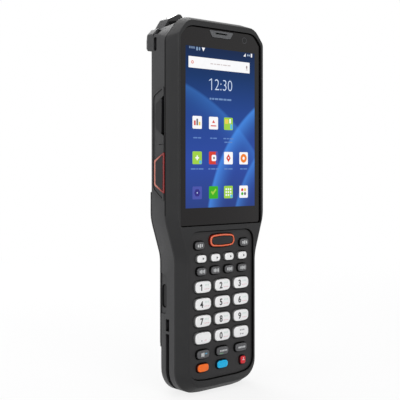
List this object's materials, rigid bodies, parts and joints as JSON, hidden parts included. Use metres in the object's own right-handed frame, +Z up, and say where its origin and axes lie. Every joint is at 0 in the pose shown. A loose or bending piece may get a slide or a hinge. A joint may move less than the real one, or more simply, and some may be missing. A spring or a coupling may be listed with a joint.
{
  "type": "portable barcode data terminal",
  "caption": "Rugged handheld data terminal with a touch screen above a keypad, a scanner head at the top, side scan keys and a removable battery.",
  "frame": {"origin": "middle of the footprint, at the lower end the terminal stands on", "axes": "+Z up along the length to the scanner head, the screen faces -Y, +X is to the right as seen from the front"},
  "size_m": [0.0728, 0.0298, 0.2076],
  "materials": {
    "shell_dark": "fine moulded texture",
    "shell_grey": "fine moulded texture",
    "battery": "fine moulded texture",
    "panel": "satin",
    "seal": "matt rubber",
    "cover_glass": "polished, tinted black round the screen",
    "display": "gloss",
    "grille": "satin",
    "black_gloss": "gloss",
    "board": "solder mask",
    "engine": "matt",
    "orange_frame": "gloss",
    "red_window": "gloss, tinted",
    "steel": "satin",
    "contact": "polished",
    "key_black": "satin",
    "key_white": "satin gloss",
    "key_grey": "satin",
    "key_orange": "satin gloss",
    "key_blue": "satin gloss",
    "key_red": "satin gloss"
  },
  "bodies": {
    "housing": {"front_housing": "shell_dark", "rear_housing": "shell_grey", "housing_gasket": "seal", "cover_glass": "cover_glass", "display_module": "display", "earpiece_grille": "grille", "front_camera": "black_gloss", "keypad_panel": "panel", "keypad_membrane": "seal", "main_board": "board", "scan_key_ring": "orange_frame", "side_scan_ring_left": "orange_frame", "side_scan_ring_right": "orange_frame", "port_cover_pin": "steel", "port_socket": "steel", "scan_hood": "black_gloss", "scan_window": "red_window", "scan_engine": "engine", "rear_camera": "black_gloss", "loudspeaker": "engine", "battery_contacts": "contact", "charging_contacts": "contact", "housing_screws": "steel"},
    "function_key_left": {"function_key_left": "key_grey"},
    "scan_key": {"scan_key": "key_black"},
    "function_key_right": {"function_key_right": "key_grey"},
    "soft_key_1": {"soft_key_1": "key_white"},
    "soft_key_2": {"soft_key_2": "key_white"},
    "soft_key_3": {"soft_key_3": "key_white"},
    "soft_key_4": {"soft_key_4": "key_white"},
    "control_key_1": {"control_key_1": "key_grey"},
    "control_key_2": {"control_key_2": "key_grey"},
    "control_key_3": {"control_key_3": "key_grey"},
    "control_key_4": {"control_key_4": "key_grey"},
    "key_1": {"key_1": "key_white"},
    "key_2": {"key_2": "key_white"},
    "key_3": {"key_3": "key_white"},
    "key_4": {"key_4": "key_white"},
    "key_5": {"key_5": "key_white"},
    "key_6": {"key_6": "key_white"},
    "key_7": {"key_7": "key_white"},
    "key_8": {"key_8": "key_white"},
    "key_9": {"key_9": "key_white"},
    "key_point": {"key_point": "key_white"},
    "key_0": {"key_0": "key_white"},
    "key_shift": {"key_shift": "key_white"},
    "menu_key": {"menu_key": "key_grey"},
    "home_key": {"home_key": "key_grey"},
    "back_key": {"back_key": "key_grey"},
    "orange_key": {"orange_key": "key_orange"},
    "blue_key": {"blue_key": "key_blue"},
    "power_key": {"power_key": "key_red"},
    "side_scan_key_left": {"side_scan_key_left": "key_black"},
    "side_scan_key_right": {"side_scan_key_right": "key_black"},
    "volume_key": {"volume_key": "key_black"},
    "port_cover": {"port_cover": "seal"},
    "battery_pack": {"battery_pack": "battery"},
    "battery_release_left": {"battery_release_left": "shell_dark"},
    "battery_release_right": {"battery_release_right": "shell_dark"}
  },
  "joints": [
    {"name": "side_scan_key_left_press", "type": "slide", "parent": "housing", "child": "side_scan_key_left", "axis": [1, 0, 0], "range_m": [0, 0.0006], "stiffness_N_per_m": 3000},
    {"name": "side_scan_key_right_press", "type": "slide", "parent": "housing", "child": "side_scan_key_right", "axis": [-1, 0, 0], "range_m": [0, 0.0006], "stiffness_N_per_m": 3000},
    {"name": "volume_key_rock", "type": "hinge", "parent": "housing", "child": "volume_key", "pos_m": [-0.03475, -0.003, 0.15035], "axis": [0, 1, 0], "range_deg": [-2.5, 2.5], "stiffness_Nm_per_rad": 0.4},
    {"name": "port_cover_hinge", "type": "hinge", "parent": "housing", "child": "port_cover", "pos_m": [0.0346, -0.00035, 0.15035], "axis": [0, 0, 1], "range_deg": [0, 90]},
    {"name": "battery_slide", "type": "slide", "parent": "housing", "child": "battery_pack", "axis": [0, 1, 0], "range_m": [0, 0.02]},
    {"name": "battery_release_left_press", "type": "slide", "parent": "housing", "child": "battery_release_left", "axis": [1, 0, 0], "range_m": [0, 0.0012], "stiffness_N_per_m": 3000},
    {"name": "battery_release_right_press", "type": "slide", "parent": "housing", "child": "battery_release_right", "axis": [-1, 0, 0], "range_m": [0, 0.0012], "stiffness_N_per_m": 3000},
    {"name": "function_key_left_press", "type": "slide", "parent": "housing", "child": "function_key_left", "axis": [0, 1, 0], "range_m": [0, 0.0007], "stiffness_N_per_m": 1800},
    {"name": "scan_key_press", "type": "slide", "parent": "housing", "child": "scan_key", "axis": [0, 1, 0], "range_m": [0, 0.0007], "stiffness_N_per_m": 2400},
    {"name": "function_key_right_press", "type": "slide", "parent": "housing", "child": "function_key_right", "axis": [0, 1, 0], "range_m": [0, 0.0007], "stiffness_N_per_m": 1800},
    {"name": "soft_key_1_press", "type": "slide", "parent": "housing", "child": "soft_key_1", "axis": [0, 1, 0], "range_m": [0, 0.0007], "stiffness_N_per_m": 1800},
    {"name": "soft_key_2_press", "type": "slide", "parent": "housing", "child": "soft_key_2", "axis": [0, 1, 0], "range_m": [0, 0.0007], "stiffness_N_per_m": 1800},
    {"name": "soft_key_3_press", "type": "slide", "parent": "housing", "child": "soft_key_3", "axis": [0, 1, 0], "range_m": [0, 0.0007], "stiffness_N_per_m": 1800},
    {"name": "soft_key_4_press", "type": "slide", "parent": "housing", "child": "soft_key_4", "axis": [0, 1, 0], "range_m": [0, 0.0007], "stiffness_N_per_m": 1800},
    {"name": "control_key_1_press", "type": "slide", "parent": "housing", "child": "control_key_1", "axis": [0, 1, 0], "range_m": [0, 0.0007], "stiffness_N_per_m": 1800},
    {"name": "control_key_2_press", "type": "slide", "parent": "housing", "child": "control_key_2", "axis": [0, 1, 0], "range_m": [0, 0.0007], "stiffness_N_per_m": 1800},
    {"name": "control_key_3_press", "type": "slide", "parent": "housing", "child": "control_key_3", "axis": [0, 1, 0], "range_m": [0, 0.0007], "stiffness_N_per_m": 1800},
    {"name": "control_key_4_press", "type": "slide", "parent": "housing", "child": "control_key_4", "axis": [0, 1, 0], "range_m": [0, 0.0007], "stiffness_N_per_m": 1800},
    {"name": "key_1_press", "type": "slide", "parent": "housing", "child": "key_1", "axis": [0, 1, 0], "range_m": [0, 0.0007], "stiffness_N_per_m": 1800},
    {"name": "key_2_press", "type": "slide", "parent": "housing", "child": "key_2", "axis": [0, 1, 0], "range_m": [0, 0.0007], "stiffness_N_per_m": 1800},
    {"name": "key_3_press", "type": "slide", "parent": "housing", "child": "key_3", "axis": [0, 1, 0], "range_m": [0, 0.0007], "stiffness_N_per_m": 1800},
    {"name": "key_4_press", "type": "slide", "parent": "housing", "child": "key_4", "axis": [0, 1, 0], "range_m": [0, 0.0007], "stiffness_N_per_m": 1800},
    {"name": "key_5_press", "type": "slide", "parent": "housing", "child": "key_5", "axis": [0, 1, 0], "range_m": [0, 0.0007], "stiffness_N_per_m": 1800},
    {"name": "key_6_press", "type": "slide", "parent": "housing", "child": "key_6", "axis": [0, 1, 0], "range_m": [0, 0.0007], "stiffness_N_per_m": 1800},
    {"name": "key_7_press", "type": "slide", "parent": "housing", "child": "key_7", "axis": [0, 1, 0], "range_m": [0, 0.0007], "stiffness_N_per_m": 1800},
    {"name": "key_8_press", "type": "slide", "parent": "housing", "child": "key_8", "axis": [0, 1, 0], "range_m": [0, 0.0007], "stiffness_N_per_m": 1800},
    {"name": "key_9_press", "type": "slide", "parent": "housing", "child": "key_9", "axis": [0, 1, 0], "range_m": [0, 0.0007], "stiffness_N_per_m": 1800},
    {"name": "key_point_press", "type": "slide", "parent": "housing", "child": "key_point", "axis": [0, 1, 0], "range_m": [0, 0.0007], "stiffness_N_per_m": 1800},
    {"name": "key_0_press", "type": "slide", "parent": "housing", "child": "key_0", "axis": [0, 1, 0], "range_m": [0, 0.0007], "stiffness_N_per_m": 1800},
    {"name": "key_shift_press", "type": "slide", "parent": "housing", "child": "key_shift", "axis": [0, 1, 0], "range_m": [0, 0.0007], "stiffness_N_per_m": 1800},
    {"name": "menu_key_press", "type": "slide", "parent": "housing", "child": "menu_key", "axis": [0, 1, 0], "range_m": [0, 0.0007], "stiffness_N_per_m": 1800},
    {"name": "home_key_press", "type": "slide", "parent": "housing", "child": "home_key", "axis": [0, 1, 0], "range_m": [0, 0.0007], "stiffness_N_per_m": 1800},
    {"name": "back_key_press", "type": "slide", "parent": "housing", "child": "back_key", "axis": [0, 1, 0], "range_m": [0, 0.0007], "stiffness_N_per_m": 1800},
    {"name": "orange_key_press", "type": "slide", "parent": "housing", "child": "orange_key", "axis": [0, 1, 0], "range_m": [0, 0.0007], "stiffness_N_per_m": 1800},
    {"name": "blue_key_press", "type": "slide", "parent": "housing", "child": "blue_key", "axis": [0, 1, 0], "range_m": [0, 0.0007], "stiffness_N_per_m": 1800},
    {"name": "power_key_press", "type": "slide", "parent": "housing", "child": "power_key", "axis": [0, 1, 0], "range_m": [0, 0.0007], "stiffness_N_per_m": 1800}
  ]
}
